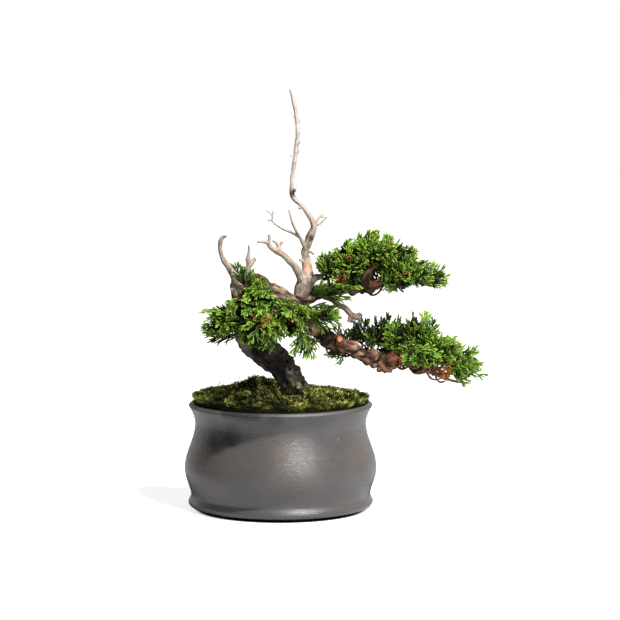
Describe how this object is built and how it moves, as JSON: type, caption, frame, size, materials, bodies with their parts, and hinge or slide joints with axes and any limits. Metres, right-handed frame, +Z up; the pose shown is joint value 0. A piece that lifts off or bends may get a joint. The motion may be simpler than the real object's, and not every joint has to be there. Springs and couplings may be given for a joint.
{
  "type": "potted juniper bonsai",
  "caption": "Slanting juniper bonsai with bleached deadwood, wired branches and layered foliage pads, in moss in a round dark stoneware pot; ornamental plant for a shelf or table",
  "frame": {"origin": "middle of the pot's flat foot, on the surface the pot stands on", "axes": "+Z up along the pot's axis, +X towards the two long branches, -Y towards the front of the tree"},
  "size_m": [0.2094, 0.1346, 0.2933],
  "materials": {
    "stoneware": "unglazed dark grey stoneware with a faint sheen",
    "soil": "granular potting soil",
    "moss": "matt moss cushions",
    "mesh_plastic": "matt black drainage mesh",
    "bark": "rough flaking bark",
    "deadwood": "bleached bare wood",
    "wire": "dark anodised training wire",
    "foliage": "scale-leaved green foliage"
  },
  "bodies": {
    "root": {"pot": "stoneware", "drain_screen_1": "mesh_plastic", "drain_screen_2": "mesh_plastic", "drain_screen_3": "mesh_plastic", "soil": "soil", "moss": "moss", "trunk": "bark", "wire_lower_branch": "wire", "wire_upper_branch": "wire", "deadwood_crown": "deadwood", "deadwood_hook": "deadwood", "deadwood_side": "deadwood", "foliage_left_tip": "foliage", "foliage_left_shoulder": "foliage", "foliage_left_crest": "foliage", "foliage_left_brow": "foliage", "foliage_left_low": "foliage", "foliage_left_mid": "foliage", "foliage_left_inner": "foliage", "foliage_left_hanging": "foliage", "foliage_left_rear": "foliage", "foliage_left_rear_middle": "foliage", "foliage_upper_heel": "foliage", "foliage_upper_left": "foliage", "foliage_upper_crown": "foliage", "foliage_upper_shoulder": "foliage", "foliage_upper_right": "foliage", "foliage_upper_tip": "foliage", "foliage_upper_low": "foliage", "foliage_upper_front": "foliage", "foliage_upper_rear": "foliage", "foliage_upper_rear_right": "foliage", "foliage_centre_high": "foliage", "foliage_centre_low": "foliage", "foliage_under_branch": "foliage", "foliage_lower_heel": "foliage", "foliage_lower_left": "foliage", "foliage_lower_middle": "foliage", "foliage_lower_crown": "foliage", "foliage_lower_shoulder": "foliage", "foliage_lower_tip": "foliage", "foliage_lower_front": "foliage", "foliage_lower_rear": "foliage", "foliage_lower_rear_tip": "foliage"}
  },
  "joints": []
}
